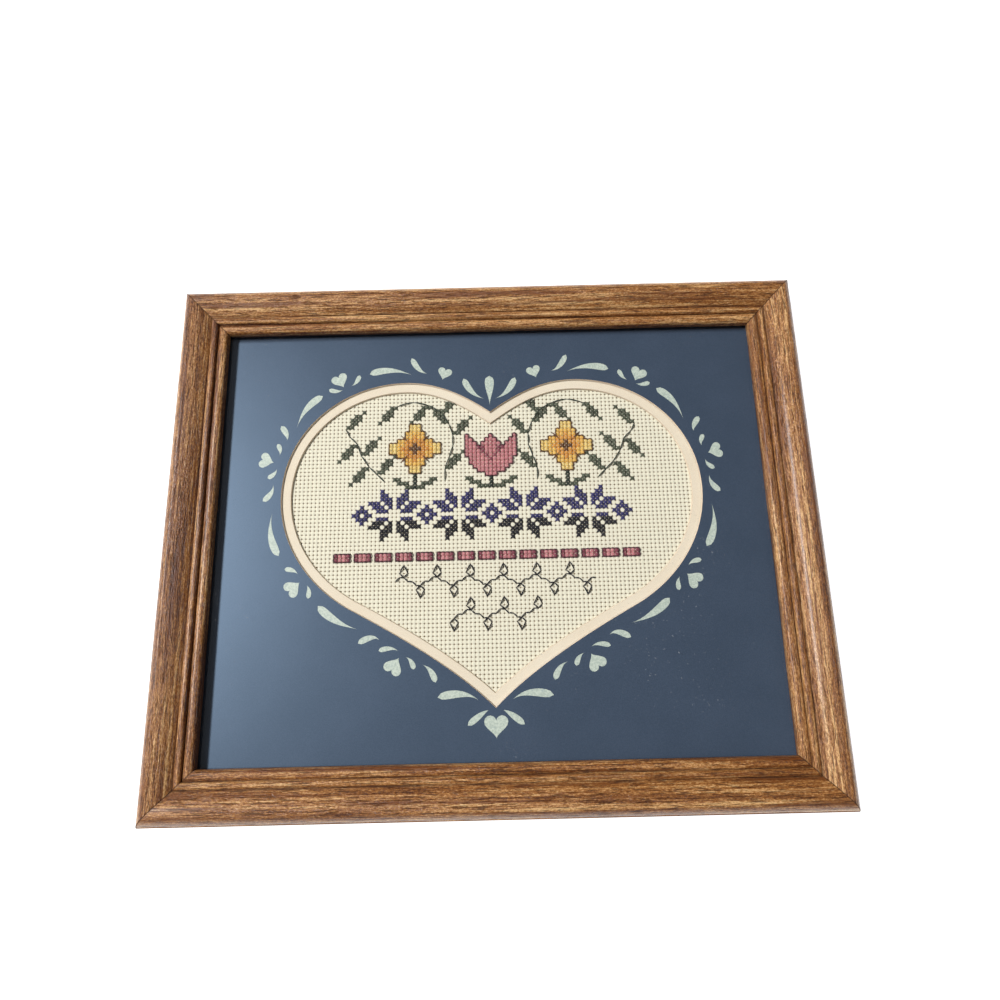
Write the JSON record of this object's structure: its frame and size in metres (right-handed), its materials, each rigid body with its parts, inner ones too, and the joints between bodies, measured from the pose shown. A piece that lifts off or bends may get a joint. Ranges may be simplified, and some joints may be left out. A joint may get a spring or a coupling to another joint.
{
  "type": "cross stitch sampler in a picture frame",
  "caption": "Cross stitched evenweave cloth behind glass, under nested mats with a heart-shaped window, in a mitred oak picture frame that lies flat, stands on its edge or hangs on a wall.",
  "frame": {"origin": "middle of the frame's back", "axes": "+X to the picture's right, +Y to its top, +Z out of its face; the frame lies on its back"},
  "size_m": [0.2846, 0.2338, 0.0186],
  "materials": {
    "oak": "stained open-grained oak under satin varnish",
    "glass": "clear picture glass",
    "blue_mat": "matt paper-faced board, slate blue with a pale printed border and a white core",
    "cream_mat": "matt paper-faced board, cream with a white core",
    "cloth": "ivory cotton evenweave with six-strand cotton stitching",
    "board": "bare brown hardboard"
  },
  "bodies": {
    "root": {"rail_top": "oak", "rail_left": "oak", "rail_bottom": "oak", "rail_right": "oak", "glass": "glass", "mat_blue": "blue_mat", "mat_cream": "cream_mat", "cloth": "cloth", "board": "board"}
  },
  "joints": []
}
